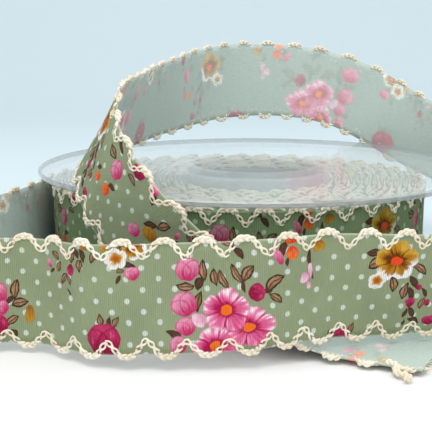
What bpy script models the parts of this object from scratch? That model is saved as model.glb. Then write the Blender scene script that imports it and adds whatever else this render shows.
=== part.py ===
"""A roll of flower ribbon on a clear spool that lies flat, with its loose end.

The ribbon is 25 mm wide with scalloped edges. It leaves the roll at the left, makes a loop, stands
on its edge in front of the spool, runs round the right side, rises over the back of the upper
flange, twists down at the left and ends under itself at the front right.
Everything is in metres with +Z up. The spool stands on z = 0, and the middle of the whole part's
floor plan is at x = y = 0.
"""

import math

import bpy
import bmesh
import numpy as np
from mathutils import Vector

MM = 0.001

# Spool
FLANGE_RADIUS = 59.0 * MM
FLANGE_THICKNESS = 1.5 * MM
SPOOL_HEIGHT = 30.3 * MM
HUB_HOLE_RADIUS = 17.0 * MM
COLLAR_RADIUS = 18.7 * MM
COLLAR_HEIGHT = 6.0 * MM
CORE_OUTER_RADIUS = 20.5 * MM
CORE_INNER_RADIUS = 19.0 * MM
EDGE_ROUNDING = 0.4 * MM
SPOOL_STEPS = 72
GAP = 0.3 * MM

# Ribbon
RIBBON_WIDTH = 25.0 * MM
RIBBON_THICKNESS = 1.0 * MM
SCALLOP_PITCH = 8.15 * MM
SCALLOP_DEPTH = 1.1 * MM
LOOSE_STEPS = 8
ROLL_STEPS = 6
LINE_SAMPLES = 4000

# Wound roll: the distance of its outer turn from the spool's axis, by direction seen from above.
# The outer turns are slack towards the left, where the loose end leaves them.
ROLL_INNER_RADIUS = CORE_OUTER_RADIUS + GAP
ROLL_SCALLOPS = 38
ROLL_START_DEG = 273.3
ROLL_OUTLINE = [
    # direction_deg, radius_mm
    (0, 46.5),
    (40, 46.4),
    (80, 46.9),
    (115, 49.0),
    (145, 53.6),
    (169, 56.8),
    (191, 55.8),
    (215, 52.3),
    (245, 48.2),
    (280, 46.4),
    (320, 46.2),
]

# Upper and lower faces of the roll: how far the turns there lie back from the full width.
ROLL_FACE = [
    # share_of_the_wound_depth, set_back_mm
    (0.00, 1.4),
    (0.45, 0.8),
    (0.94, 1.2),
]

# Loose ribbon, from the roll to its cut end: the middle of the ribbon's width, from the spool's
# axis, and how far its upper edge leans towards the printed side.
LOOSE_RIBBON = [
    # x_mm, y_mm, z_mm, lean_deg
    # leaves the roll and makes the loop at the left
    (-57.2, 10.1, 14.3, 0),
    (-60.2, -10.0, 14.3, 0),
    (-68.0, -27.0, 14.0, 0),
    (-78.5, -44.0, 13.4, 0),
    (-80.5, -59.0, 13.2, 0),
    (-71.0, -69.5, 13.2, 0),
    (-58.0, -68.5, 13.2, 0),
    # stands along the front
    (-47.0, -69.5, 13.3, 0),
    (-38.0, -76.0, 13.8, 0),
    (-26.0, -79.5, 14.5, 0),
    (-10.0, -79.3, 15.0, 0),
    (3.0, -78.0, 15.7, 4),
    (14.0, -74.0, 15.8, 7),
    (25.0, -71.5, 15.3, 10),
    (38.0, -68.5, 15.0, 12),
    # rises round the right side
    (53.0, -57.0, 16.4, 8),
    (66.0, -36.0, 19.0, 0),
    (71.5, -10.0, 22.0, 0),
    (69.5, 15.0, 25.5, 0),
    (61.5, 35.0, 29.8, 0),
    # arches over the back of the upper flange
    (49.0, 46.0, 36.2, 0),
    (34.0, 51.0, 44.6, 0),
    (16.0, 49.0, 49.5, 0),
    (-2.0, 42.5, 50.5, -2),
    (-16.0, 28.5, 49.2, -8),
    (-26.5, 8.0, 47.0, -16),
    # turns down over the left of the upper flange and passes in front of its rim
    (-34.0, -17.0, 45.0, -24),
    (-38.3, -41.8, 43.2, -28),
    (-34.5, -57.5, 35.0, -10),
    (-27.0, -65.0, 25.5, 12),
    # tips over behind the front run and ends under it, printed side down
    (-17.5, -66.0, 16.0, 36),
    (-7.5, -63.0, 9.2, 64),
    (2.5, -61.8, 5.0, 86),
    (13.0, -63.5, 3.1, 96),
    (24.0, -68.0, 1.9, 94),
    (35.0, -73.5, 1.2, 90),
]

CLEAR_PLASTIC = (0.80, 0.88, 0.90, 1.0)
SAGE_GREEN = (0.30, 0.38, 0.24, 1.0)


def clear_scene():
    for item in list(bpy.data.objects):
        bpy.data.objects.remove(item, do_unlink=True)


def material(name, colour, roughness, see_through=0.0):
    made = bpy.data.materials.new(name)
    made.use_nodes = True
    shader = made.node_tree.nodes["Principled BSDF"]
    shader.inputs["Base Color"].default_value = colour
    shader.inputs["Roughness"].default_value = roughness
    shader.inputs["Metallic"].default_value = 0.0
    shader.inputs["Transmission Weight"].default_value = see_through
    return made


def add_object(name, mesh, finish):
    mesh.materials.append(finish)
    made = bpy.data.objects.new(name, mesh)
    bpy.context.scene.collection.objects.link(made)
    return made


def turned(name, profile, finish):
    """A ring turned from a closed profile of (radius, height) corners."""
    shape = bmesh.new()
    corners = [shape.verts.new((radius, 0.0, height)) for radius, height in profile]
    edges = [shape.edges.new((a, b)) for a, b in zip(corners, corners[1:] + corners[:1])]
    bmesh.ops.spin(
        shape,
        geom=corners + edges,
        cent=(0.0, 0.0, 0.0),
        axis=(0.0, 0.0, 1.0),
        angle=math.tau,
        steps=SPOOL_STEPS,
        use_merge=True,
    )
    bmesh.ops.recalc_face_normals(shape, faces=shape.faces)
    mesh = bpy.data.meshes.new(name)
    shape.to_mesh(mesh)
    shape.free()
    mesh.shade_smooth()
    mesh.set_sharp_from_angle(angle=math.radians(30))
    return add_object(name, mesh, finish)


def flange_profile(upside_down):
    """Disc with a rounded rim and a collar on its inner side that plugs into the core."""
    top = FLANGE_THICKNESS
    rim = FLANGE_RADIUS
    lip = EDGE_ROUNDING
    corners = [
        (HUB_HOLE_RADIUS, 0.0),
        (rim - lip, 0.0),
        (rim, lip),
        (rim, top - lip),
        (rim - lip, top),
        (COLLAR_RADIUS, top),
        (COLLAR_RADIUS, top + COLLAR_HEIGHT - lip),
        (COLLAR_RADIUS - lip, top + COLLAR_HEIGHT),
        (HUB_HOLE_RADIUS, top + COLLAR_HEIGHT),
    ]
    if upside_down:
        corners = [(radius, SPOOL_HEIGHT - height) for radius, height in corners]
    return corners


def core_profile():
    low = FLANGE_THICKNESS + GAP
    high = SPOOL_HEIGHT - FLANGE_THICKNESS - GAP
    return [
        (CORE_INNER_RADIUS, low),
        (CORE_OUTER_RADIUS, low),
        (CORE_OUTER_RADIUS, high),
        (CORE_INNER_RADIUS, high),
    ]


def smooth_line(rows, closed):
    """Samples of the smoothest curve through the rows, whose first columns are its place."""
    rows = np.array(rows, float)
    count = len(rows)
    places = rows[:, : min(3, rows.shape[1])]
    gaps = np.linalg.norm(np.roll(places, -1, axis=0) - places, axis=1)
    weights = np.zeros((count, count))
    right = np.zeros_like(rows)
    for i in range(count):
        if not closed and i in (0, count - 1):
            weights[i, i] = 1.0
            continue
        before, after = gaps[i - 1], gaps[i]
        last, following = (i - 1) % count, (i + 1) % count
        weights[i, last] += before
        weights[i, i] += 2 * (before + after)
        weights[i, following] += after
        rise = (rows[following] - rows[i]) / after
        fall = (rows[i] - rows[last]) / before
        right[i] = 6 * (rise - fall)
    bends = np.linalg.solve(weights, right)
    stretches = count if closed else count - 1
    ends = np.concatenate([[0.0], np.cumsum(gaps[:stretches])])
    at = np.linspace(0.0, ends[-1], LINE_SAMPLES)
    k = np.clip(np.searchsorted(ends, at, side="right") - 1, 0, stretches - 1)
    step = gaps[k][:, None]
    b = (at - ends[k])[:, None] / step
    a = 1 - b
    nearer, further = k, (k + 1) % count
    bend = (a**3 - a) * bends[nearer] + (b**3 - b) * bends[further]
    return a * rows[nearer] + b * rows[further] + bend * step**2 / 6


def run_along(line):
    """Distance along a sampled line, at each sample."""
    steps = np.linalg.norm(np.diff(line[:, :3], axis=0), axis=1)
    return np.concatenate([[0.0], np.cumsum(steps)])


def picked(line, distances):
    along = run_along(line)
    return np.stack([np.interp(distances, along, column) for column in line.T], axis=1)


def scallop_dip(step, steps):
    """How far the edge lies back from the scallops' peaks, at a step along one of them."""
    return SCALLOP_DEPTH * (1 - abs(math.sin(math.pi * step / steps)))


def bridged(name, sections, closed, finish):
    """A solid through equal sections of corners, joined end to end or capped at both ends."""
    shape = bmesh.new()
    rings = [[shape.verts.new(corner) for corner in section] for section in sections]
    pairs = list(zip(rings, rings[1:]))
    if closed:
        pairs.append((rings[-1], rings[0]))
    for near, far in pairs:
        for i in range(len(near)):
            j = (i + 1) % len(near)
            shape.faces.new((near[i], near[j], far[j], far[i]))
    if not closed:
        shape.faces.new(rings[0])
        shape.faces.new(rings[-1])
    bmesh.ops.recalc_face_normals(shape, faces=shape.faces)
    mesh = bpy.data.meshes.new(name)
    shape.to_mesh(mesh)
    shape.free()
    mesh.shade_smooth()
    mesh.set_sharp_from_angle(angle=math.radians(30))
    return add_object(name, mesh, finish)


def roll_outline():
    """The outer turn seen from above, at even steps, starting at a dip between two scallops."""
    start = math.radians(ROLL_START_DEG)
    places = []
    for direction, radius in ROLL_OUTLINE:
        angle = math.radians(direction)
        places.append((radius * MM * math.cos(angle), radius * MM * math.sin(angle)))
    line = smooth_line(places, closed=True)
    angles = np.unwrap(np.arctan2(line[:, 1], line[:, 0]))
    first = int(np.argmin(np.abs(angles - (start - math.tau))))
    if angles[-1] > start:
        first = int(np.argmin(np.abs(angles - start)))
    line = np.concatenate([line[first:-1], line[: first + 1]])
    along = run_along(line)
    steps = ROLL_SCALLOPS * ROLL_STEPS
    return picked(line, np.arange(steps) * along[-1] / steps)


def wound_roll(finish):
    low = FLANGE_THICKNESS + GAP
    high = low + RIBBON_WIDTH
    sections = []
    for step, (x, y) in enumerate(roll_outline()):
        radius = math.hypot(x, y)
        outward = Vector((x, y, 0.0)) / radius
        depth = radius - ROLL_INNER_RADIUS
        dip = scallop_dip(step, ROLL_STEPS)
        faces = [(ROLL_INNER_RADIUS + depth * share, back * MM) for share, back in ROLL_FACE]
        corners = [(at, low + back) for at, back in faces]
        corners.append((radius, low + dip))
        corners.append((radius, high - dip))
        corners += [(at, high - back) for at, back in reversed(faces)]
        sections.append([outward * at + Vector((0.0, 0.0, height)) for at, height in corners])
    return bridged("ribbon_roll", sections, True, finish)


def loose_ribbon(finish):
    table = [(x * MM, y * MM, z * MM, lean) for x, y, z, lean in LOOSE_RIBBON]
    line = smooth_line(table, closed=False)
    length = run_along(line)[-1]
    steps = round(length / SCALLOP_PITCH) * LOOSE_STEPS
    stations = picked(line, np.linspace(0.0, length, steps + 1))
    places = stations[:, :3]
    ways = np.gradient(places, axis=0)
    sections = []
    for step, (place, way, lean) in enumerate(zip(places, ways, stations[:, 3])):
        place = Vector(place)
        way = Vector(way).normalized()
        upright = (Vector((0.0, 0.0, 1.0)) - way * way.z).normalized()
        printed_side = way.cross(upright)
        lean = math.radians(lean)
        across = upright * math.cos(lean) + printed_side * math.sin(lean)
        outward = way.cross(across) * (RIBBON_THICKNESS / 2)
        across *= RIBBON_WIDTH / 2 - scallop_dip(step, LOOSE_STEPS)
        sections.append(
            [
                place + across + outward,
                place + across - outward,
                place - across - outward,
                place - across + outward,
            ]
        )
    return bridged("ribbon_loose", sections, False, finish)


def centre_on_floor_plan(pieces):
    """Moves the part so that the middle of its floor plan is at x = y = 0."""
    corners = np.array([corner.co for piece in pieces for corner in piece.data.vertices])
    middle = (corners.min(axis=0) + corners.max(axis=0)) / 2
    for piece in pieces:
        piece.location = (-middle[0], -middle[1], 0.0)


clear_scene()
clear = material("clear_plastic", CLEAR_PLASTIC, 0.12, see_through=0.85)
cloth = material("printed_cotton", SAGE_GREEN, 0.85)
centre_on_floor_plan(
    [
        turned("spool_lower_flange", flange_profile(upside_down=False), clear),
        turned("spool_upper_flange", flange_profile(upside_down=True), clear),
        turned("spool_core", core_profile(), clear),
        wound_roll(cloth),
        loose_ribbon(cloth),
    ]
)
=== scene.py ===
"""A roll of flower ribbon on a clear spool: a printed sage-green cotton ribbon, 25 mm wide, with a
crocheted cream edging along both sides. Everything is in metres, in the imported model's own frame.
"""

import math

import bpy
import numpy as np
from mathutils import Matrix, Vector


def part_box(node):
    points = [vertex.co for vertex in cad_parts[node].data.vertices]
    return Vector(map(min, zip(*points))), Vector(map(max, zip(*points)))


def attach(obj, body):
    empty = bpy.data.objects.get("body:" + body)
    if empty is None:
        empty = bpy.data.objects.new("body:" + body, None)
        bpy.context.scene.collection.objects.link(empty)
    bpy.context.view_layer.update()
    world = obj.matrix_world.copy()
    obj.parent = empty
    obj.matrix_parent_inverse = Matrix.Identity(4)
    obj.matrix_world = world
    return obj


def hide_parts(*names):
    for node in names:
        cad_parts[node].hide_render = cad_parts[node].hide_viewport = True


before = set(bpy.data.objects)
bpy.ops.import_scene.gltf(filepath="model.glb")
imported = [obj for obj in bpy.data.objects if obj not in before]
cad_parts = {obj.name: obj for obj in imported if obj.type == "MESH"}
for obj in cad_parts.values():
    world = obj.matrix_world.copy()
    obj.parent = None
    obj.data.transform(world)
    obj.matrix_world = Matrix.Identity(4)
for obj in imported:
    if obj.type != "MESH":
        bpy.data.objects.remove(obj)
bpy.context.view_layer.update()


# Backdrop, lights and camera: a white table that runs up into a pale blue back wall, a large soft
# lamp overhead, fills from the front on either side and high on the right, and a long lens that
# looks slightly down at the front.

def deselect():
    if bpy.context.object and bpy.context.object.mode != "OBJECT":
        bpy.ops.object.mode_set(mode="OBJECT")
    bpy.ops.object.select_all(action="DESELECT")


def select(piece):
    deselect()
    piece.select_set(True)
    bpy.context.view_layer.objects.active = piece


class Wire:
    """A material's socket. Python's operators on it add Math nodes."""

    def __init__(self, tree, socket=None):
        self.tree = tree
        self.socket = socket

    def node(self, kind, values=None, output=0, **settings):
        """Adds any node: its settings come first, then the values or links of its sockets."""
        made = self.tree.nodes.new("ShaderNode" + kind)
        stops = settings.pop("stops", None)
        for name, value in settings.items():
            setattr(made, name, value)
        if stops:
            ramp = made.color_ramp.elements
            while len(ramp) < len(stops):
                ramp.new(0.5)
            for stop, (place, colour) in zip(ramp, stops):
                stop.position = place
                stop.color = (*colour, 1.0)
        for socket, value in (values or {}).items():
            if isinstance(value, Wire):
                self.tree.links.new(value.socket, made.inputs[socket])
            else:
                made.inputs[socket].default_value = value
        return Wire(self.tree, made.outputs[output])

    def math(self, operation, *values):
        return self.node("Math", dict(enumerate(values)), operation=operation)

    def __add__(self, other):
        return self.math("ADD", self, other)

    __radd__ = __add__

    def __mul__(self, other):
        return self.math("MULTIPLY", self, other)

    __rmul__ = __mul__

    def __sub__(self, other):
        return self.math("SUBTRACT", self, other)

    def __rsub__(self, other):
        return self.math("SUBTRACT", other, self)

    def __truediv__(self, other):
        return self.math("DIVIDE", self, other)

    def __abs__(self):
        return self.math("ABSOLUTE", self)

    def less_of(self, other):
        return self.math("MINIMUM", self, other)

    def more_of(self, other):
        return self.math("MAXIMUM", self, other)

    def below(self, other):
        return self.math("LESS_THAN", self, other)

    def fade(self, start, end):
        """0 at start and 1 at end, with a soft turn at both."""
        return self.node("MapRange", {0: self, 1: start, 2: end}, interpolation_type="SMOOTHSTEP")

    def covered(self, colour, share):
        """This colour with another one laid over a share of it."""
        return self.node("Mix", {0: share, 6: self, 7: colour}, output=2, data_type="RGBA")

    def dimmed(self, share):
        """This colour times a number, or times another wire's number or colour."""
        share = share if isinstance(share, Wire) else (share, share, share, 1.0)
        return self.node("Mix", {0: 1.0, 6: self, 7: share}, output=2, data_type="RGBA",
                         blend_type="MULTIPLY")

    def vector(self, operation, *values, output=0):
        return self.node("VectorMath", dict(enumerate(values)), output=output, operation=operation)

    def grain(self, place, size, detail=2.0, output=0):
        return self.node("TexNoise", {0: place, 2: size, 3: detail}, output=output)


def new_material(name, roughness):
    made = bpy.data.materials.new(name)
    made.use_nodes = True
    shader = made.node_tree.nodes["Principled BSDF"]
    shader.inputs["Roughness"].default_value = roughness
    return made, shader, Wire(made.node_tree)


def feed(wire, socket):
    wire.tree.links.new(wire.socket, socket)


TABLE_SIZE = 5.0
WALL_AT = 0.9
WALL_HEIGHT = 2.5
WALL_BEND = 0.45
TABLE_WHITE = (0.86, 0.86, 0.855)
WALL_BLUE = (0.69, 0.79, 0.825)

deselect()
table_middle = (0.0, WALL_AT - TABLE_SIZE / 2, -0.0003)
bpy.ops.mesh.primitive_plane_add(size=TABLE_SIZE, location=table_middle)
table = bpy.context.object
table.name = "table"
bpy.ops.object.mode_set(mode="EDIT")
bpy.ops.mesh.select_mode(type="EDGE")
bpy.ops.mesh.select_all(action="DESELECT")
bpy.ops.object.mode_set(mode="OBJECT")
for edge in table.data.edges:
    edge.select = all(table.data.vertices[i].co.y > 0 for i in edge.vertices)
bpy.ops.object.mode_set(mode="EDIT")
bpy.ops.mesh.extrude_region_move(TRANSFORM_OT_translate={"value": (0.0, 0.0, WALL_HEIGHT)})
bpy.ops.object.mode_set(mode="OBJECT")
for edge in table.data.edges:
    edge.select = all(
        table.data.vertices[i].co.y > 0 and table.data.vertices[i].co.z < 1 for i in edge.vertices
    )
bpy.ops.object.mode_set(mode="EDIT")
bpy.ops.mesh.bevel(offset=WALL_BEND, segments=16, affect="EDGES")
bpy.ops.object.mode_set(mode="OBJECT")
bpy.ops.object.shade_smooth()
bpy.ops.object.transform_apply(location=True, rotation=True, scale=True)
backdrop, shader, wire = new_material("backdrop_paper", 0.9)
reach = wire.node("SeparateXYZ", {0: wire.node("TexCoord", output=3)}, output=1)
paper = wire.node("RGB")
paper.socket.default_value = (*TABLE_WHITE, 1.0)
feed(paper.covered((*WALL_BLUE, 1.0), reach.fade(-0.07, 0.03)), shader.inputs["Base Color"])
table.data.materials.append(backdrop)

spool_low, spool_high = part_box("spool_core")
AXIS_X = (spool_low.x + spool_high.x) / 2
AXIS_Y = (spool_low.y + spool_high.y) / 2


def soft_lamp(name, place, aim, width, power, tint):
    lamp = bpy.data.lights.new(name, "AREA")
    lamp.shape = "DISK"
    lamp.size = width
    lamp.energy = power
    lamp.color = tint
    holder = bpy.data.objects.new(name, lamp)
    holder.location = place
    holder.rotation_euler = (Vector(aim) - Vector(place)).to_track_quat("-Z", "Y").to_euler()
    bpy.context.scene.collection.objects.link(holder)


WHITE = (1.0, 1.0, 1.0)

soft_lamp("overhead_lamp", (-0.10, -0.30, 0.95), (0.0, 0.0, 0.0), 0.8, 6.0, (1.0, 0.99, 0.97))
soft_lamp("left_fill", (-0.65, -0.70, 0.45), (0.0, -0.05, 0.02), 0.6, 1.5, WHITE)
soft_lamp("right_fill", (0.40, -0.80, 0.35), (-0.03, 0.0, 0.03), 0.6, 1.5, WHITE)
soft_lamp("high_fill", (0.50, 0.02, 0.48), (-0.06, -0.01, 0.02), 0.5, 0.9, WHITE)
sky = bpy.data.worlds.new("studio_sky")
sky.use_nodes = True
sky.node_tree.nodes["Background"].inputs["Color"].default_value = (0.90, 0.95, 1.0, 1.0)
sky.node_tree.nodes["Background"].inputs["Strength"].default_value = 0.60
bpy.context.scene.world = sky
bpy.context.scene.view_settings.view_transform = "Standard"

SENSOR_WIDTH = 36.0
LENS_PER_PICTURE = 950.0 / 432.0
LOOKS_DOWN_DEG = 11.4

lens = bpy.data.cameras.new("front_camera")
lens.sensor_width = SENSOR_WIDTH
lens.lens = SENSOR_WIDTH * LENS_PER_PICTURE
camera = bpy.data.objects.new("front_camera", lens)
camera.location = (AXIS_X - 0.0108, AXIS_Y - 0.260, 0.0678)
camera.rotation_euler = (math.radians(90.0 - LOOKS_DOWN_DEG), 0.0, 0.0)
bpy.context.scene.collection.objects.link(camera)
bpy.context.scene.camera = camera


# Spool: two flanges and a core of clear, faintly blue polystyrene, moulded and pressed together.
# The flat faces carry faint moulding rings and rub marks and look milky when seen at a low angle,
# and the upper flange's rim is painted grey as a line of painted shade.

CLEAR_TINT = (0.80, 0.87, 0.885)
UPPER_RIM_PAINTED_SHADE = (0.20, 0.23, 0.24)
RIM_FADE = (0.0581, 0.0587)
CORE_FADE = (0.0206, 0.0198)
CORE_TOP_FADE = (0.0290, 0.0280)

clear_plastic, shader, wire = new_material("clear_plastic", 0.10)
shader.inputs["IOR"].default_value = 1.55
shader.inputs["Coat Weight"].default_value = 1.0
shader.inputs["Coat Roughness"].default_value = 0.06
place = wire.node("Mapping", {0: wire.node("TexCoord", output=3), 1: (-AXIS_X, -AXIS_Y, 0.0)})
rings = wire.node("TexWave", {0: place, 1: 260.0, 2: 1.5, 3: 2.0}, output=1,
                  wave_type="RINGS", rings_direction="Z")
rubbed = wire.grain(place, 55.0, 5.0)
feed(0.05 + 0.14 * rubbed.fade(0.4, 0.75) + 0.03 * rings, shader.inputs["Roughness"])
feed(wire.node("Bump", {0: 0.05, 1: 0.0003, 3: rings + rubbed * 0.8}), shader.inputs["Normal"])
far = wire.vector("LENGTH", wire.vector("MULTIPLY", place, (1.0, 1.0, 0.0)), output=1)
height = wire.node("SeparateXYZ", {0: place}, output=2)
rim = far.fade(*RIM_FADE)
core_wall = far.fade(*CORE_FADE) * height.fade(*CORE_TOP_FADE)
slant = wire.node("LayerWeight", {0: 0.5}, output=1)
milky = 0.16 + 0.20 * slant.fade(0.35, 0.95) + 0.05 * rubbed
feed(milky + 0.46 * rim + 0.04 * core_wall, shader.inputs["Alpha"])
clear = wire.node("RGB")
clear.socket.default_value = (*CLEAR_TINT, 1.0)
# Painted shade: the rim of the upper flange, above 15 mm, is painted grey; the lower flange's rim
# keeps the clear tint.
upper_rim_painted_shade = clear.covered((*UPPER_RIM_PAINTED_SHADE, 1.0), height.fade(0.015, 0.025) * 0.85)
feed(clear.covered(upper_rim_painted_shade, rim), shader.inputs["Base Color"])
for node_name in ("spool_lower_flange", "spool_upper_flange", "spool_core"):
    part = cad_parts[node_name]
    for slot in part.material_slots:
        slot.material = clear_plastic


# Loose ribbon: a thin strip of printed cotton, cut 22.6 mm wide, that leaves the roll at the left,
# loops, stands along the front, climbs round the right and over the back of the upper flange, then
# twists down at the left and ends under itself. The print shows faintly through on its back.

MM = 0.001
CLOTH_WIDTH = 22.6
CLOTH_THICKNESS = 0.36
SCALLOP_PITCH = 8.15
CLOTH_STEPS = 16
CLOTH_COLUMNS = 14
LOOSE_RIBBON = [
    # x_mm, y_mm, z_mm from the spool's axis, lean_deg of the upper edge to the printed side
    (-57.2, 10.1, 14.3, 0), (-60.2, -10.0, 14.3, 0), (-68.0, -27.0, 14.0, 0),
    (-78.5, -44.0, 13.4, 0), (-80.5, -59.0, 13.2, 0), (-71.0, -69.5, 13.2, 0),
    (-58.0, -68.5, 13.2, 0), (-47.0, -69.5, 13.3, 0), (-38.0, -76.0, 13.8, 0),
    (-26.0, -79.5, 14.5, 0), (-10.0, -79.3, 15.0, 0), (3.0, -78.0, 15.7, 4),
    (14.0, -74.0, 15.8, 7), (25.0, -71.5, 15.3, 10), (38.0, -68.5, 15.0, 12),
    (53.0, -57.0, 16.4, 8), (66.0, -36.0, 19.0, 0), (71.5, -10.0, 22.0, 0),
    (69.5, 15.0, 25.5, 0), (61.5, 35.0, 29.8, 0), (49.0, 46.0, 36.2, 0),
    (34.0, 51.0, 44.6, 0), (16.0, 49.0, 49.5, 0), (-2.0, 42.5, 50.5, -2),
    (-16.0, 28.5, 49.2, -8), (-26.5, 8.0, 47.0, -16), (-34.0, -17.0, 45.0, -24),
    (-38.3, -41.8, 43.2, -28), (-34.5, -57.5, 35.0, -10), (-27.0, -65.0, 25.5, 12),
    (-17.5, -66.0, 16.0, 36), (-7.5, -63.0, 9.2, 64), (2.5, -61.8, 5.0, 86),
    (13.0, -63.5, 3.1, 96), (24.0, -68.0, 1.9, 94), (35.0, -73.5, 1.2, 90),
]
CREASES = [
    # along_mm, slant (mm along for each mm up), half_width_mm, rise_mm towards the printed side
    (84.0, 0.15, 7.0, -0.30), (128.0, -0.25, 6.0, 0.30), (142.0, 0.35, 4.5, -0.28),
    (158.0, -0.10, 5.0, 0.22), (171.0, 0.30, 4.0, -0.25), (184.0, -0.20, 5.5, 0.30),
    (203.0, 0.10, 7.0, -0.35), (236.0, 0.30, 9.0, 0.40), (262.0, -0.20, 7.0, -0.35),
    (300.0, 0.20, 10.0, 0.45), (338.0, 0.50, 8.0, -0.60), (356.0, -0.35, 6.0, 0.45),
    (378.0, 0.25, 8.0, -0.45), (402.0, -0.40, 7.0, 0.50), (428.0, 0.30, 8.0, -0.50),
    (455.0, -0.20, 9.0, 0.40), (486.0, 0.60, 6.0, -0.45), (507.0, -0.30, 5.0, 0.35),
    (528.0, 0.20, 5.0, -0.25),
]


def smooth_line(rows, closed):
    """Samples of the smoothest curve through the rows, whose first columns are its place."""
    rows = np.array(rows, float)
    count = len(rows)
    places = rows[:, : min(3, rows.shape[1])]
    gaps = np.linalg.norm(np.roll(places, -1, axis=0) - places, axis=1)
    weights = np.zeros((count, count))
    right = np.zeros_like(rows)
    for i in range(count):
        if not closed and i in (0, count - 1):
            weights[i, i] = 1.0
            continue
        before, after = gaps[i - 1], gaps[i]
        last, following = (i - 1) % count, (i + 1) % count
        weights[i, last] += before
        weights[i, i] += 2 * (before + after)
        weights[i, following] += after
        right[i] = 6 * ((rows[following] - rows[i]) / after - (rows[i] - rows[last]) / before)
    bends = np.linalg.solve(weights, right)
    stretches = count if closed else count - 1
    ends = np.concatenate([[0.0], np.cumsum(gaps[:stretches])])
    at = np.linspace(0.0, ends[-1], 4000)
    k = np.clip(np.searchsorted(ends, at, side="right") - 1, 0, stretches - 1)
    step = gaps[k][:, None]
    b = (at - ends[k])[:, None] / step
    a = 1 - b
    bend = (a**3 - a) * bends[k] + (b**3 - b) * bends[(k + 1) % count]
    return a * rows[k] + b * rows[(k + 1) % count] + bend * step**2 / 6


def lengths_along(line):
    return np.concatenate([[0.0], np.cumsum(np.linalg.norm(np.diff(line[:, :3], axis=0), axis=1))])


def unit(rows):
    return rows / np.linalg.norm(rows, axis=1)[:, None]


def blended(at, along, columns):
    return np.stack([np.interp(at, along, column) for column in columns.T], axis=1)


loose_line = smooth_line(LOOSE_RIBBON, closed=False)
loose_along = lengths_along(loose_line)
LOOSE_LENGTH = loose_along[-1]
LOOSE_SCALLOPS = round(LOOSE_LENGTH / SCALLOP_PITCH)
way = unit(np.gradient(loose_line[:, :3], axis=0))
upright = unit(np.array([0.0, 0.0, 1.0]) - way * way[:, 2:3])
lean = np.radians(loose_line[:, 3:4])
loose_across = upright * np.cos(lean) + np.cross(way, upright) * np.sin(lean)
loose_out = np.cross(way, loose_across)


def on_loose(along, up, out=0.0):
    """A point of the loose ribbon, in metres, from its place along, across and off the cloth."""
    along, up = np.broadcast_arrays(np.asarray(along, float), np.asarray(up, float))
    rise = np.zeros_like(along)
    for at, slant_of, half, height in CREASES:
        rise += height * np.exp(-(((along - at - slant_of * up) / half) ** 2))
    centre = blended(along, loose_along, loose_line[:, :3])
    across = unit(blended(along, loose_along, loose_across))
    off = unit(blended(along, loose_along, loose_out))
    place = centre + across * up[:, None] + off * (rise + out)[:, None]
    return (place + np.array([AXIS_X / MM, AXIS_Y / MM, 0.0])) * MM


def grid_through(name, rows):
    """A grid primitive whose points are laid on rows of places."""
    columns, steps = rows.shape[:2]
    deselect()
    bpy.ops.mesh.primitive_grid_add(x_subdivisions=steps - 1, y_subdivisions=columns - 1, size=1.0)
    made = bpy.context.object
    made.name = name
    made.data.vertices.foreach_set("co", rows.reshape(-1, 3).astype(np.float32).ravel())
    made.data.update()
    return made


def lay_cloth_map(piece, along, up):
    """Gives each corner its place on the flat cloth, in metres along and across."""
    layer = piece.data.uv_layers[0]
    layer.name = "cloth"
    corners = np.empty(len(piece.data.loops), np.int32)
    piece.data.loops.foreach_get("vertex_index", corners)
    flat = np.stack([along.ravel()[corners], up.ravel()[corners]], axis=1) * MM
    layer.data.foreach_set("uv", flat.astype(np.float32).ravel())


def thicken_cloth(piece, printed, reverse):
    """Closes the strip to its thickness: the print on one face, the plain back on the other."""
    piece.data.materials.append(printed)
    piece.data.materials.append(reverse)
    select(piece)
    shell = piece.modifiers.new("thickness", "SOLIDIFY")
    shell.thickness = CLOTH_THICKNESS * MM
    shell.offset = 0.0
    shell.use_even_offset = False
    shell.material_offset = 1
    shell.material_offset_rim = 0
    bpy.ops.object.modifier_apply(modifier=shell.name)
    bpy.ops.object.shade_smooth()


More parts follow.
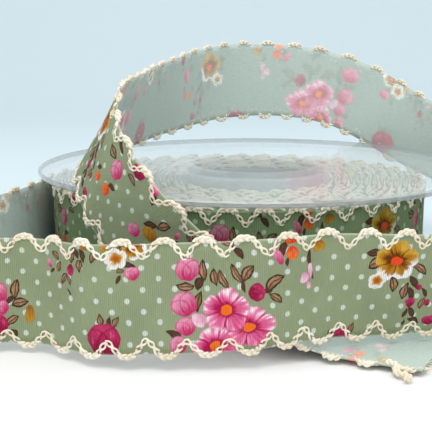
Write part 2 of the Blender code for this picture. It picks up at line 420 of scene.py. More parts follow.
PRINT_REPEAT = 108.5
PRINT_START = 100.4
PRINT_SLIP = [
    # along_mm of the ribbon, and how far the print is ahead of it there
    (0.0, -8.5), (60.0, -8.5), (97.0, 0.0), (250.0, 0.0), (341.0, 5.0), (370.0, 2.5),
    (413.0, -4.0), (495.0, 21.0), (600.0, 21.0),
]
BLOSSOMS_BEHIND = [
    # along_mm, up_mm, half_long_mm, half_wide_mm, turn_deg, kind: 0 pink, 1 ochre, 2 daisy
    (158.9, -6.5, 5.6, 4.4, 8, 0), (152.2, -10.0, 4.8, 4.3, 40, 0),
    (137.0, 10.6, 2.6, 2.4, 60, 1),
]
BLOSSOMS = [
    (154.6, -2.7, 4.8, 4.7, 12, 0), (190.1, 5.5, 4.8, 4.5, 14, 1),
    (186.4, 1.2, 2.1, 1.9, 10, 2), (133.4, 8.4, 2.5, 2.1, 30, 2),
]
BUDS = [
    # the same columns; the tip lies a quarter turn past turn_deg.
    # kind: 0 pink, 1 magenta, 2 orange red, 3 ochre, 4 pale pink
    (147.2, 6.0, 2.5, 2.5, 10, 0), (146.3, -1.1, 2.7, 2.6, 40, 0),
    (146.6, -5.6, 2.2, 1.9, 20, 0), (149.2, -4.4, 1.6, 1.4, 120, 4),
    (144.9, -9.4, 1.9, 1.7, 40, 0), (160.8, 0.6, 2.0, 1.65, -80, 1),
    (165.2, 7.6, 0.8, 1.8, 25, 0), (167.9, 8.1, 1.2, 1.45, 180, 2),
    (167.6, 10.9, 1.3, 0.9, 0, 2), (173.3, 9.1, 1.4, 1.25, 200, 3),
    (170.6, 2.5, 0.95, 1.1, 170, 4), (171.8, 4.0, 0.5, 1.7, 8, 4),
    (171.6, 0.8, 0.5, 0.8, 190, 4), (195.9, -0.5, 0.8, 0.7, -60, 1),
    (194.4, -4.0, 1.05, 1.15, 0, 1), (198.3, -4.2, 0.7, 0.9, 0, 1),
    (180.0, -10.9, 2.2, 1.7, -10, 1), (129.7, -8.2, 3.7, 3.6, 5, 1),
    (116.6, 6.5, 0.65, 1.0, 10, 0), (122.9, 5.8, 0.95, 1.25, 165, 1),
    (120.9, 8.9, 0.9, 0.5, -35, 4), (127.1, 11.0, 1.3, 0.9, 20, 3),
    (131.5, 11.2, 1.6, 0.85, 60, 3), (136.5, 5.4, 1.6, 1.4, 30, 0),
    (206.2, 4.8, 2.4, 2.2, 70, 0), (102.8, 10.2, 1.9, 1.7, 20, 1),
    (201.6, -1.5, 1.25, 1.1, 90, 2), (206.0, -1.2, 1.4, 1.3, 90, 2),
    (199.3, -8.5, 1.7, 1.2, 0, 1),
]
LEAVES = [
    # the same columns. kind: 0 tan with a brown edge, 1 dark brown, 2 olive
    (150.3, 5.6, 2.3, 0.95, 96, 0), (149.6, 3.1, 1.7, 1.0, 62, 1),
    (146.7, 2.5, 2.0, 1.0, 175, 0), (152.5, 4.2, 1.9, 0.85, 102, 0),
    (154.2, 3.6, 2.3, 0.9, 112, 0), (156.9, 4.6, 2.5, 0.85, 118, 0),
    (159.1, 4.7, 2.2, 1.15, 56, 0), (158.1, 2.2, 1.6, 0.5, 96, 1),
    (164.2, 2.4, 2.5, 1.35, 36, 0), (164.5, -0.9, 1.9, 0.85, -36, 0),
    (162.9, 0.8, 1.1, 0.8, 20, 1), (144.3, -7.3, 1.9, 0.85, -34, 1),
    (149.1, -0.6, 2.2, 0.95, 78, 2), (171.4, 6.6, 2.2, 0.42, 96, 1),
    (172.2, 3.2, 1.3, 0.4, 108, 1), (157.6, 8.9, 1.6, 0.8, -50, 1),
    (155.6, 11.0, 1.7, 0.9, -30, 0), (166.2, 9.2, 1.7, 0.85, 76, 1),
    (166.9, 6.4, 1.1, 0.45, 82, 1), (184.9, 7.2, 1.7, 1.0, -12, 1),
    (185.7, 4.9, 1.9, 1.3, 22, 0), (195.4, 3.8, 2.2, 1.05, -36, 0),
    (190.1, 0.3, 1.8, 1.1, -80, 0), (194.5, 0.8, 1.8, 0.9, -58, 1),
    (192.8, -1.2, 2.0, 0.95, 80, 0), (194.2, -1.9, 1.8, 0.8, -74, 1),
    (195.0, -6.2, 1.5, 0.7, -58, 1), (193.6, -6.4, 1.3, 0.45, -110, 1),
    (193.5, -8.6, 0.7, 0.35, 80, 1), (197.0, -4.2, 1.5, 0.75, 72, 0),
    (197.3, -1.8, 1.2, 0.6, -60, 1), (182.0, -9.8, 1.8, 0.75, 78, 0),
    (177.4, -10.4, 1.2, 0.6, 130, 1), (129.3, -4.2, 1.4, 0.75, 100, 0),
    (131.0, -4.6, 1.3, 0.6, 80, 1), (132.4, -4.4, 1.3, 0.75, 62, 0),
    (118.5, 8.4, 1.3, 0.8, -40, 0), (119.4, 6.1, 1.3, 0.75, 62, 0),
    (117.3, 5.1, 0.9, 0.4, 42, 1), (123.6, 8.4, 1.4, 0.9, 72, 0),
    (124.7, 9.5, 1.4, 0.8, -58, 1), (125.4, 6.9, 1.5, 0.9, 76, 0),
    (126.3, 9.0, 1.6, 0.75, -72, 1), (120.7, 3.9, 1.5, 0.7, 48, 0),
    (122.2, 3.7, 1.3, 0.6, -72, 0), (122.0, 1.1, 0.9, 0.3, -62, 1),
    (128.8, 8.8, 1.4, 0.8, 70, 0), (134.6, 11.0, 1.2, 0.9, 50, 0),
    (135.6, 7.2, 1.7, 0.65, -6, 1), (134.1, 6.0, 1.0, 0.6, 22, 0),
    (133.5, 4.2, 1.1, 0.45, 56, 1), (202.6, 6.6, 1.9, 1.3, 168, 0),
    (204.2, 9.6, 1.9, 0.7, 150, 1), (102.4, 7.2, 1.6, 0.9, -10, 0),
    (200.6, 0.2, 1.2, 0.6, 40, 1), (207.2, 0.7, 1.3, 0.7, 20, 1),
    (195.6, -8.2, 1.5, 0.8, -20, 1),
]
BUDS_ONCE = [
    # motifs that show only where the ribbon leaves the picture at the left, and low on the twist
    (103.9, -0.3, 2.3, 2.3, 30, 0), (104.5, -3.7, 2.0, 1.5, 60, 0),
    (104.1, -7.4, 1.9, 2.4, 0, 1), (110.6, -5.0, 1.1, 2.0, 175, 3),
    (541.5, 10.4, 1.3, 1.1, 40, 0), (543.3, -1.0, 1.8, 1.7, 80, 0),
    (546.4, 1.6, 1.7, 1.8, 60, 3),
]
LEAVES_ONCE = [
    (107.7, 0.3, 2.4, 1.15, 82, 0), (108.6, -2.6, 2.0, 1.15, 14, 0),
    (106.4, -2.0, 1.4, 0.7, 30, 1), (106.9, -6.4, 1.7, 1.0, 36, 0),
    (107.1, -9.2, 1.1, 0.85, -50, 1), (542.6, 8.6, 1.6, 0.6, 100, 1),
    (545.2, 3.4, 1.8, 0.9, 40, 1), (547.4, 5.6, 1.8, 1.2, 60, 0),
]

WEAVE_PITCH = 0.42
SAGE = (0.262, 0.312, 0.180)
DOT_WHITE = (0.66, 0.70, 0.64)
TAN = (0.50, 0.31, 0.18)
DARK_BROWN = (0.032, 0.008, 0.005)
OLIVE = (0.20, 0.15, 0.05)
# Painted shade: how much darker and greener the wound turns are than the loose ribbon, for the
# shade between the flanges.
WOUND_PAINTED_SHADE = (0.50, 0.61, 0.50)
BUD_BASES = [
    # a fifth of the bud's kind, and the colour at its base
    (0.0, (0.50, 0.025, 0.12)), (0.2, (0.25, 0.004, 0.040)), (0.4, (0.70, 0.055, 0.008)),
    (0.6, (0.30, 0.115, 0.004)), (0.8, (0.66, 0.28, 0.42)),
]
BUD_TIPS = [
    (0.0, (0.76, 0.32, 0.47)), (0.2, (0.50, 0.032, 0.125)), (0.4, (0.80, 0.20, 0.03)),
    (0.6, (0.53, 0.27, 0.018)), (0.8, (0.84, 0.62, 0.70)),
]
DOT_COLUMNS = 17
DOT_ROW_STEP = 4.48
DOT_START = (160.6, 8.75, 0.0)


def nearest_motif(*laid_out):
    """The place within whichever motif lies nearest, and how far out, 1 at its rim. Each argument
    is a place on the cloth and the motifs that are laid out by it."""
    local, far = None, None
    for place, motifs in laid_out:
        for along, up, half_long, half_wide, turn, kind in motifs:
            c, s = math.cos(math.radians(turn)), math.sin(math.radians(turn))
            long_row = (c / half_long, s / half_long, -(c * along + s * up) / half_long)
            wide_row = (-s / half_wide, c / half_wide, (s * along - c * up) / half_wide)
            x = place.vector("DOT_PRODUCT", place, long_row, output=1)
            y = place.vector("DOT_PRODUCT", place, wide_row, output=1)
            here = place.node("CombineXYZ", {0: x, 1: y, 2: 0.001 * kind})
            out = place.vector("LENGTH", here, output=1)
            if local is None:
                local, far = here, out
            else:
                closer = out.below(far)
                local = place.node("Mix", {0: closer, 4: local, 5: here}, output=1,
                                   data_type="VECTOR")
                far = far.less_of(out)
    return local, far


def parted(vector):
    made = vector.tree.nodes.new("ShaderNodeSeparateXYZ")
    vector.tree.links.new(vector.socket, made.inputs[0])
    return [Wire(vector.tree, socket) for socket in made.outputs]


def ramp(share, *stops):
    return share.node("ValToRGB", {0: share}, stops=stops)


def leaf_print(ground, place, whole, seen):
    local, _ = nearest_motif((place, LEAVES), (whole, LEAVES_ONCE))
    x, y, kind = parted(local)
    kind = kind * 1000.0
    bow = y + 0.35 * (x * x - 0.35)
    inside = 0.92 * (1.0 - x * x) - abs(bow)
    streaks = place.grain(place.vector("MULTIPLY", local, (1.3, 5.0, 900.0)), 1.6, 2.0)
    outline = (inside + (streaks - 0.5) * 0.5).fade(0.48, 0.20)
    vein = (bow + 0.06).fade(0.14, 0.04) * abs(bow).fade(0.4, 0.0)
    dark = outline.more_of(vein)
    dark = dark.more_of(x.fade(-0.35, -0.95)) + (streaks - 0.52) * 0.8
    dark = dark.more_of((kind - 0.5).fade(0.0, 0.1) * 0.84 * (kind - 1.5).fade(0.1, 0.0))
    dark = dark.more_of(0.0).less_of(1.0)
    body = ramp(streaks, (0.34, (0.24, 0.11, 0.05)), (0.62, TAN))
    body = body.covered((*OLIVE, 1.0), (kind - 1.5).fade(0.0, 0.1) * 0.8)
    return ground.covered(body.covered((*DARK_BROWN, 1.0), dark), inside.fade(-0.05, 0.10) * seen)


def bud_print(ground, place, whole):
    local, far = nearest_motif((place, BUDS), (whole, BUDS_ONCE))
    x, y, kind = parted(local)
    kind = kind * 200.0
    brush = place.grain(place.vector("MULTIPLY", local, (4.5, 1.2, 700.0)), 1.8, 3.0)
    base = ramp(kind, *BUD_BASES)
    tip = ramp(kind, *BUD_TIPS)
    left_petal = place.vector("DISTANCE", local, (0.55, -0.35, 0.0), output=1)
    right_petal = place.vector("DISTANCE", local, (-0.60, -0.15, 0.0), output=1)
    folds = abs(left_petal - 0.95).fade(0.10, 0.0).more_of(abs(right_petal - 0.80).fade(0.09, 0.0))
    lift = y.fade(-0.95, 0.95) + (brush - 0.5) * 1.2 - folds * 0.55
    colour = base.covered(tip, lift.more_of(0.0).less_of(1.0))
    highlight = brush.fade(0.60, 0.74) * far.fade(0.85, 0.5) * 0.5
    colour = colour.covered((0.84, 0.50, 0.62, 1.0), highlight)
    colour = colour.covered(base, far.fade(0.80, 0.98) * 0.75)
    lobes = far + 0.03 * place.math("COSINE", place.math("ARCTAN2", x, y) * 3.0)
    return ground.covered(colour, lobes.fade(1.0, 0.93))


def blossom_print(ground, place, motifs):
    local, far = nearest_motif((place, motifs))
    x, y, kind = parted(local)
    kind = kind * 1000.0
    turn = place.math("ARCTAN2", y, x)
    petal = abs(place.math("COSINE", turn * 2.5))
    rim = 0.74 + 0.26 * place.math("POWER", petal, 0.5)
    notch = place.grain(local, 2.6, 2.0)
    patch = place.grain(place.vector("ADD", local, (3.7, 1.9, 0.0)), 1.15, 1.0)
    share = far / (rim + (notch - 0.5) * 0.26)
    spin = place.node("CombineXYZ", {0: turn * 3.4, 1: far * 0.9, 2: kind * 3.1})
    streaks = place.grain(spin, 2.1, 3.0)
    crease = petal.fade(0.30, 0.04)
    wash = share * 0.92 + (streaks - 0.5) * 1.25 + (patch - 0.5) * 1.5 - crease * 0.5
    pink = ramp(wash, (0.12, (0.38, 0.005, 0.075)), (0.38, (0.62, 0.07, 0.20)),
                (0.68, (0.72, 0.17, 0.33)), (0.90, (0.79, 0.38, 0.52)), (1.0, (0.83, 0.76, 0.80)))
    ochre = ramp(wash, (0.12, (0.13, 0.03, 0.002)), (0.36, (0.34, 0.13, 0.005)),
                 (0.75, (0.50, 0.25, 0.015)), (1.0, (0.60, 0.37, 0.06)))
    tipped = (share + (streaks - 0.5) * 0.6).fade(0.62, 0.80) * y.fade(-0.02, -0.40)
    ochre = ochre.covered((0.80, 0.78, 0.76, 1.0), tipped)
    daisy = ramp(share + (streaks - 0.5) * 0.8, (0.12, (0.34, 0.08, 0.004)),
                 (0.50, (0.52, 0.25, 0.015)), (0.64, (0.74, 0.68, 0.60)),
                 (1.0, (0.80, 0.79, 0.77)))
    colour = pink.covered(ochre, (kind - 0.5).fade(0.0, 0.1))
    colour = colour.covered(daisy, (kind - 1.5).fade(0.0, 0.1))
    ring = (far + (streaks - 0.5) * 0.26).fade(0.34, 0.24)
    colour = colour.covered((0.36, 0.006, 0.06, 1.0), ring * (kind - 0.5).fade(0.1, 0.0))
    outline = share.fade(0.90, 1.0).more_of(crease * share.fade(0.45, 0.9) * 0.8)
    colour = colour.covered((0.46, 0.03, 0.12, 1.0), outline * 0.55 * (kind - 0.5).fade(0.1, 0.0))
    heart = (far + (notch - 0.5) * 0.14).fade(0.25, 0.21)
    centre = ramp(kind * 0.5, (0.0, (0.80, 0.16, 0.012)), (0.5, (0.76, 0.07, 0.015)),
                  (1.0, (0.45, 0.08, 0.006)))
    colour = colour.covered(centre, heart)
    return ground.covered(colour, share.fade(1.02, 0.97))


def cloth_place(wire):
    """Place on the flat cloth in millimetres, as one vector and as its two numbers."""
    metres = wire.node("UVMap", uv_map="cloth")
    flat = wire.node("VectorMath", {0: metres, 3: 1000.0}, operation="SCALE")
    along, up, _ = parted(flat)
    return flat, along, up


def flower_print(wire, along, up, ground, dot_white, dot_share, leaf_share, blur):
    """White dots on the ground colour, and flowers over them, as one colour. Their edges are
    scattered by blur, in mm."""
    folded = wire.math("WRAP", along, PRINT_START + PRINT_REPEAT, PRINT_START)
    level = wire.node("CombineXYZ", {0: folded, 1: up, 2: 1.0})
    shaky = wire.vector("SUBTRACT", wire.grain(level, 0.55, 2.0, output=1), (0.5, 0.5, 0.5))
    spotted = wire.vector("ADD", level, wire.vector("MULTIPLY", shaky, (0.35, 0.35, 0.0)))
    step = (PRINT_REPEAT / DOT_COLUMNS, DOT_ROW_STEP, 1.0)
    cell = wire.vector("DIVIDE", wire.vector("SUBTRACT", spotted, DOT_START), step)
    spots = None
    for shift in ((0.5, 0.5, 0.0), (1.0, 1.0, 0.0)):
        inner = wire.vector("FRACTION", wire.vector("ADD", cell, shift))
        inner = wire.vector("MULTIPLY", wire.vector("SUBTRACT", inner, (0.5, 0.5, 0.0)), step)
        spot = wire.vector("LENGTH", wire.vector("MULTIPLY", inner, (1.0, 0.92, 0.0)), output=1)
        spots = spot if spots is None else spots.less_of(spot)
    colour = ground.covered((*dot_white, 1.0), spots.fade(0.66, 0.44) * dot_share)
    shaky = wire.vector("MULTIPLY", shaky, (0.9, 0.9, 0.0))
    if blur:
        scatter = wire.vector("SUBTRACT", wire.grain(level, 4.0, 0.0, output=1), (0.5, 0.5, 0.5))
        scatter = wire.vector("MULTIPLY", scatter, (2 * blur, 2 * blur, 0.0))
        shaky = wire.vector("ADD", shaky, scatter)
    drawn = wire.vector("ADD", level, shaky)
    whole = wire.vector("ADD", wire.node("CombineXYZ", {0: along, 1: up, 2: 1.0}), shaky)
    colour = leaf_print(colour, drawn, whole, leaf_share)
    colour = bud_print(colour, drawn, whole)
    colour = blossom_print(colour, drawn, BLOSSOMS_BEHIND)
    return blossom_print(colour, drawn, BLOSSOMS)


def weave(wire, along, up):
    """Plain weave of the cotton, 0 in its furrows and 1 on its threads."""
    step = 2 * math.pi / WEAVE_PITCH
    warp = wire.math("SINE", along * step)
    weft = wire.math("SINE", up * step)
    return 0.5 + 0.22 * warp + 0.28 * warp * weft


def cotton_print(name, tint):
    """The printed face. Painted shade darkens and greens it as it does the turns between the
    flanges, up to where the loose end leaves the roll, and from 45 mm on it takes its own tint,
    which is painted shade as well, white for none."""
    made, shader, wire = new_material(name, 0.86)
    shader.inputs["Specular IOR Level"].default_value = 0.12
    shader.inputs["Sheen Weight"].default_value = 0.05
    flat, along, up = cloth_place(wire)
    threads = weave(wire, along, up)
    slubs = wire.grain(wire.vector("MULTIPLY", flat, (3.2, 0.45, 1.0)), 1.2, 2.0)
    cast = wire.grain(flat, 0.09, 3.0)
    sage = ramp(cast, (0.3, tuple(c * 0.93 for c in SAGE)), (0.7, tuple(c * 1.08 for c in SAGE)))
    colour = flower_print(wire, along, up, sage, DOT_WHITE, 0.80, 1.0, 0.0)
    # Painted light and shade on the weave: lighter on its threads and darker in its furrows. The
    # slubs vary the yarn's tone.
    colour = colour.dimmed(0.92 + (threads - 0.5) * 0.75 + (slubs - 0.5) * 0.42)
    colour = colour.covered((0.80, 0.80, 0.72, 1.0), abs(up).fade(10.95, 11.2) * 0.3)
    # Painted shade: darkened and greened like the wound turns up to where the loose end leaves the
    # roll, fading over 45 mm into the face's own tint.
    colour = colour.dimmed(ramp(along.fade(0.0, 45.0), (0.0, WOUND_PAINTED_SHADE), (1.0, tint)))
    feed(colour, shader.inputs["Base Color"])
    feed(wire.node("Bump", {0: 0.5, 1: 0.00012, 3: threads + slubs}), shader.inputs["Normal"])
    return made


printed_cotton = cotton_print("printed_cotton", (1.0, 1.0, 1.0))

BARE = (0.505, 0.60, 0.545)
GHOST_GAIN = 1.75
GHOST_DOT = (0.34, 0.38, 0.35)
GHOST_BLUR = 1.1

reverse_cotton, shader, wire = new_material("reverse_cotton", 0.88)
shader.inputs["Specular IOR Level"].default_value = 0.12
shader.inputs["Sheen Weight"].default_value = 0.05
flat, along, up = cloth_place(wire)
threads = weave(wire, along, up)
slubs = wire.grain(wire.vector("MULTIPLY", flat, (0.5, 3.0, 1.0)), 1.2, 2.0)
bare = ramp(slubs, (0.3, tuple(c * 0.94 for c in BARE)), (0.7, tuple(c * 1.06 for c in BARE)))
faint = bare.dimmed(1 / GHOST_GAIN)
ghost = flower_print(wire, along, up, faint, GHOST_DOT, 0.2, 0.4, GHOST_BLUR)
colour = bare.covered(ghost.dimmed(GHOST_GAIN), 0.47)
# Painted shade in the weave's furrows.
colour = colour.covered((0.10, 0.12, 0.10, 1.0), (0.5 - threads).more_of(0.0) * 0.16)
feed(colour, shader.inputs["Base Color"])
feed(wire.node("Bump", {0: 0.6, 1: 0.00015, 3: threads + slubs}), shader.inputs["Normal"])

chance = np.random.default_rng(7)
steps = LOOSE_SCALLOPS * CLOTH_STEPS + 1
along = np.tile(np.linspace(0.0, LOOSE_LENGTH, steps), (CLOTH_COLUMNS + 1, 1))
heights = np.linspace(-CLOTH_WIDTH / 2, CLOTH_WIDTH / 2, CLOTH_COLUMNS + 1)
up = np.tile(heights[:, None], (1, steps))
along[:, -1] += chance.uniform(-0.5, 0.1, CLOTH_COLUMNS + 1)
rows = on_loose(along.ravel(), up.ravel()).reshape(CLOTH_COLUMNS + 1, steps, 3)
loose_cloth = grid_through("loose_cloth", rows)
slip = np.interp(along, [row[0] for row in PRINT_SLIP], [row[1] for row in PRINT_SLIP])
lay_cloth_map(loose_cloth, along + slip, up)
thicken_cloth(loose_cloth, printed_cotton, reverse_cotton)
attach(loose_cloth, "root")
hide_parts("ribbon_loose")


# Edging of the loose ribbon: cream cotton crocheted onto both edges in scallops. Plump stitches
# stand past the cloth's edge on each arc and thin out to open loops in the V between two arcs.

EDGING_DROP = [
    # distance from the arc's middle, as a share of half a scallop, and how far the thread has
    # come in from the arc's top, as a share of the depth of the V
    (0.0, 0.0), (0.15, 0.015), (0.30, 0.075), (0.42, 0.20), (0.60, 0.47), (0.80, 0.76),
    (0.94, 0.96), (1.0, 1.0),
]
EDGING_DEPTH = 3.35
EDGING_TOP = 11.85
STITCH_STEP = 0.34
STRAND_SIDES = 5
STRAND_TURN = 3.9

edging_cotton, shader, wire = new_material("edging_cotton", 0.9)
shader.inputs["Specular IOR Level"].default_value = 0.2
shader.inputs["Sheen Weight"].default_value = 0.25
place = wire.node("TexCoord", output=3)
fibres = wire.grain(wire.vector("MULTIPLY", place, (1.0, 1.0, 1.6)), 2600.0, 3.0)
patches = wire.grain(place, 130.0, 3.0)
colour = ramp(patches, (0.32, (0.77, 0.68, 0.51)), (0.68, (0.88, 0.83, 0.70)))
colour = colour.covered((0.50, 0.40, 0.25, 1.0), fibres.fade(0.46, 0.28) * 0.40)
feed(colour, shader.inputs["Base Color"])
feed(wire.node("Bump", {0: 0.7, 1: 0.00012, 3: fibres}), shader.inputs["Normal"])


def scallop_wave(scallops, pitch, first, seed):
    """Places along and across of the edging's middle line, and its share of the way into a V."""
    odd = np.random.default_rng(seed)
    per = 48
    turn = np.arange(scallops * per + 1) / per
    number = np.minimum(turn.astype(int), scallops - 1)
    share = np.abs(2 * (turn - number) - 1)
    drop = np.interp(share, [row[0] for row in EDGING_DROP], [row[1] for row in EDGING_DROP])
    depths = EDGING_DEPTH + odd.uniform(-0.35, 0.35, scallops + 1)
    tops = EDGING_TOP + odd.uniform(-0.10, 0.06, scallops)
    shifts = odd.uniform(-0.35, 0.35, scallops + 1)
    shifts[0] = shifts[-1] = 0.0
    bulge = odd.uniform(-0.25, 0.25, scallops)
    valley = np.rint(turn).astype(int)
    along = first + turn * pitch + np.interp(turn, np.arange(scallops + 1), shifts)
    along += bulge[number] * (1 - share**2)
    up = tops[number] * (1 - drop) + (EDGING_TOP - depths[valley]) * drop
    return along, up, drop


def plaited_edging(name, lay, along, up, drop, side):
    """Three strands plaited along the wave. On the arcs they lie plump together; in the V's two of
    them cross in open loops and the third thins out behind them."""
    path = lay(along, up * side)
    far = lengths_along(path) / MM
    count = int(far[-1] / STITCH_STEP)
    at = np.linspace(0.0, far[-1], count)
    along, up, drop = (np.interp(at, far, values) for values in (along, up, drop))
    arcs = 1 - np.clip(drop / 0.55, 0, 1)
    middle = lay(along, up * side)
    off = unit(lay(along, up * side, 0.5) - middle)
    tangent = unit(np.gradient(middle, axis=0))
    across = unit(np.cross(off, tangent))
    middle = middle + off * (0.24 * (1 - arcs) * MM)[:, None]
    odd = np.random.default_rng(len(name) + count)
    knots = np.arange(0.0, far[-1] + 1.0, 0.9)
    wobble = np.interp(at, knots, odd.uniform(-1, 1, len(knots)))
    spread = (0.47 + 0.05 * wobble) * MM
    depth = (0.14 + 0.20 * arcs) * MM
    thick = (0.235 + 0.145 * arcs + 0.03 * wobble) * MM
    rate = 2 * math.pi / STRAND_TURN
    pieces = []
    for strand, (on_arc, in_v) in enumerate(((0.0, 0.0), (2 / 3, 1.0), (4 / 3, 1.5))):
        phase = at * rate + math.pi * (in_v + (on_arc - in_v) * arcs)
        reach_of = spread if strand < 2 else spread * arcs
        centre = middle + across * (reach_of * np.sin(phase))[:, None]
        sunk = 0.30 * MM * (1 - arcs) if strand == 2 else 0.0
        centre += off * (depth * np.sin(2 * phase) - sunk)[:, None]
        girth = thick * (1 + 0.16 * np.cos(2 * phase))
        if strand == 2:
            girth = np.maximum(girth * arcs, 0.12 * MM)
        pieces.append(thread_tube(name, centre, girth, girth, STRAND_SIDES))
    return joined(pieces, name)


def thread_tube(name, centre, wide, thick, sides, across=None):
    """A closed tube round a line of places, with its half width across and its half thickness
    the other way."""
    tangent = unit(np.gradient(centre, axis=0))
    if across is None:
        across = np.cross(tangent, np.array([0.31, 0.17, 0.93]))
    across = unit(across - tangent * np.sum(across * tangent, axis=1)[:, None])
    other = np.cross(tangent, across)
    rows = []
    for side in range(sides + 1):
        angle = 2 * math.pi * (side % sides) / sides
        rows.append(centre + across * (wide * math.cos(angle))[:, None]
                    + other * (thick * math.sin(angle))[:, None])
    made = grid_through(name, np.array(rows))
    bpy.ops.object.mode_set(mode="EDIT")
    bpy.ops.mesh.select_all(action="SELECT")
    bpy.ops.mesh.remove_doubles(threshold=1e-7)
    bpy.ops.mesh.select_all(action="SELECT")
    bpy.ops.mesh.fill_holes(sides=sides)
    bpy.ops.mesh.select_all(action="SELECT")
    bpy.ops.mesh.normals_make_consistent(inside=False)
    bpy.ops.object.mode_set(mode="OBJECT")
    bpy.ops.object.shade_smooth()
    return made


def joined(pieces, name):
    deselect()
    for piece in pieces:
        piece.select_set(True)
    bpy.context.view_layer.objects.active = pieces[0]
    bpy.ops.object.join()
    bpy.context.object.name = name
    return bpy.context.object


pitch = LOOSE_LENGTH / LOOSE_SCALLOPS
for name, side, seed in (("loose_upper_edging", 1, 11), ("loose_lower_edging", -1, 12)):
    wave = scallop_wave(LOOSE_SCALLOPS, pitch, 0.0, seed)
    edging = plaited_edging(name, on_loose, *wave, side)
    edging.data.materials.clear()
    edging.data.materials.append(edging_cotton)
    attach(edging, "root")


# Cut end: the ribbon was snipped straight across, so warp threads have worked loose there and a
# tail of the crocheted edging hangs off its front edge.

HANGING_END = [
    # x_mm, y_mm, z_mm from the spool's axis
    (23.5, -79.0, 1.5), (25.2, -81.4, 1.2), (24.6, -83.4, 0.9), (26.4, -84.9, 0.8),
    (26.0, -87.0, 0.8),
]

FRAYED_THREADS = 26
FRAYED_SPAN = 21.8

frayed = []
for number in range(FRAYED_THREADS):
    height = FRAYED_SPAN * (number / (FRAYED_THREADS - 1) - 0.5) + chance.uniform(-0.3, 0.3)
    reach_of = chance.uniform(1.2, 4.6)
    curl = chance.uniform(-1.2, 1.2)
    share = np.linspace(0.0, 1.0, 9)
    along = LOOSE_LENGTH - 1.0 + share * (1.0 + reach_of)
    start = on_loose(np.array([LOOSE_LENGTH - 1.0]), np.array([height]))[0]
    end = on_loose(np.array([LOOSE_LENGTH]), np.array([height]))[0]
    tilt = on_loose(np.array([LOOSE_LENGTH]), np.array([height + 1.0]))[0] - end
    line = start + (end - start)[None, :] * (share * (1.0 + reach_of))[:, None]
    line = line + tilt[None, :] * (curl * share**2)[:, None]
    line[:, 2] = np.maximum(line[:, 2] + 0.0002 * np.sin(share * 5 + number), 0.0004)
    girth = np.full(9, 0.075 * MM)
    frayed.append(thread_tube("frayed_threads", line, girth, girth, 4))
end_line = smooth_line(HANGING_END, closed=False)
end_along = lengths_along(end_line)


def on_hanging_end(along, up, out=0.0):
    place = blended(along, end_along, end_line)
    place[:, 2] += up + out
    return (place + np.array([AXIS_X / MM, AXIS_Y / MM, 0.0])) * MM


along = np.linspace(0.0, end_along[-1], 60)
frayed.append(plaited_edging("hanging_end", on_hanging_end, along, along * 0.0, along * 0.0, 1))
frayed = joined(frayed, "frayed_threads")
frayed.data.materials.clear()
frayed.data.materials.append(edging_cotton)
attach(frayed, "root")


# Wound ribbon: the rest of the same strip, wound printed side out round the core. Each turn is a
# thin strip of its own, and the turns lie slacker towards the left, where the loose end leaves.

ROLL_OUTLINE = [
    # direction_deg, radius_mm of the outer turn
    (0, 46.5), (40, 46.4), (80, 46.9), (115, 49.0), (145, 53.6), (169, 56.8), (191, 55.8),
    (215, 52.3), (245, 48.2), (280, 46.4), (320, 46.2),
]
ROLL_MIDDLE = 14.3
ROLL_INNER = 20.9
ROLL_TURNS = 34
ROLL_END = 169.5
ROLL_STEPS = 6
ROLL_PRINT_SHIFT = 47.5

ring = smooth_line(
    [(r * math.cos(math.radians(d)), r * math.sin(math.radians(d))) for d, r in ROLL_OUTLINE],
    closed=True,
)
ring_angle = np.unwrap(np.arctan2(ring[:, 1], ring[:, 0]))
ring_radius = np.hypot(ring[:, 0], ring[:, 1])
wound = np.linspace(0.0, ROLL_TURNS * 2 * math.pi, ROLL_TURNS * 720)
angle = wound + math.radians(ROLL_END) - ROLL_TURNS * 2 * math.pi
circle = 2 * math.pi
outer = np.interp(angle % circle, ring_angle % circle, ring_radius, period=circle)
radius = ROLL_INNER + (outer - 0.25 - ROLL_INNER) * wound / wound[-1]
radius += 0.10 * np.sin(angle * 2.3 + 0.7) * np.sin(wound * 0.37) * (wound / wound[-1])
leaving = np.clip((wound - wound[-1] + 0.45) / 0.45, 0, 1)
radius += 0.75 * leaving**2
roll_line = np.stack([radius * np.cos(angle), radius * np.sin(angle)], axis=1)
roll_line = np.concatenate([roll_line, np.full((len(angle), 1), ROLL_MIDDLE)], axis=1)
roll_along = lengths_along(roll_line)
roll_along -= roll_along[-1]
roll_out = np.cross(unit(np.gradient(roll_line, axis=0)), np.array([0.0, 0.0, 1.0]))


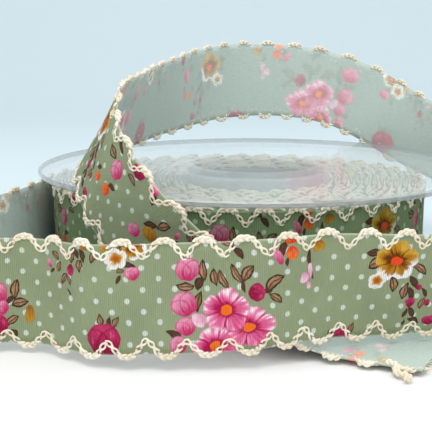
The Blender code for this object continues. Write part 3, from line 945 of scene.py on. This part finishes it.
def on_roll(along, up, out=0.0):
    """A point of the wound ribbon, in metres; along runs up to 0, where the loose end leaves."""
    along, up = np.broadcast_arrays(np.asarray(along, float), np.asarray(up, float))
    place = blended(along, roll_along, roll_line)
    place += unit(blended(along, roll_along, roll_out)) * out
    place[:, 2] += up
    return (place + np.array([AXIS_X / MM, AXIS_Y / MM, 0.0])) * MM


roll_scallops = int(-roll_along[0] / SCALLOP_PITCH)
steps = roll_scallops * ROLL_STEPS + 1
along = np.tile(np.linspace(-roll_scallops * SCALLOP_PITCH, 0.0, steps), (3, 1))
up = np.tile(np.array([[-1.0], [0.0], [1.0]]) * CLOTH_WIDTH / 2, (1, steps))
rows = on_roll(along.ravel(), up.ravel()).reshape(3, steps, 3)
wound_cloth = grid_through("wound_cloth", rows)
lay_cloth_map(wound_cloth, along + ROLL_PRINT_SHIFT, up)
# The wound turns get their own copy of the printed cotton, darkened and greened all over as painted
# shade for the shade between the flanges.
thicken_cloth(wound_cloth, cotton_print("wound_cotton_painted_shade", WOUND_PAINTED_SHADE), reverse_cotton)
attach(wound_cloth, "root")
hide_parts("ribbon_roll")


# Edging of the wound ribbon: the same crochet. Pressed between turns it shows through the clear
# flange as close cream ripples, and the outer turn shows it in full between the flanges.

outer_scallops = 38
inner_scallops = roll_scallops - outer_scallops
for name, side, seed in (("wound_upper_edging", 1, 21), ("wound_lower_edging", -1, 22)):
    first = -roll_scallops * SCALLOP_PITCH
    along, up, drop = scallop_wave(inner_scallops, SCALLOP_PITCH, first, seed)
    keep = slice(None, None, 6)
    along, up, drop = along[keep], up[keep], drop[keep]
    centre = on_roll(along, up * side)
    out = on_roll(along, up * side, 0.5) - centre
    wide = (0.22 - 0.06 * drop) * MM * chance.uniform(0.75, 1.1, len(along))
    edging = thread_tube(name, centre, wide, (0.46 - 0.16 * drop) * MM, 5, out)
    edging.data.materials.clear()
    edging.data.materials.append(edging_cotton)
    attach(edging, "root")
for name, side, seed in (("outer_upper_edging", 1, 31), ("outer_lower_edging", -1, 32)):
    wave = scallop_wave(outer_scallops, SCALLOP_PITCH, -outer_scallops * SCALLOP_PITCH, seed)
    edging = plaited_edging(name, on_roll, *wave, side)
    edging.data.materials.clear()
    edging.data.materials.append(edging_cotton)
    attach(edging, "root")
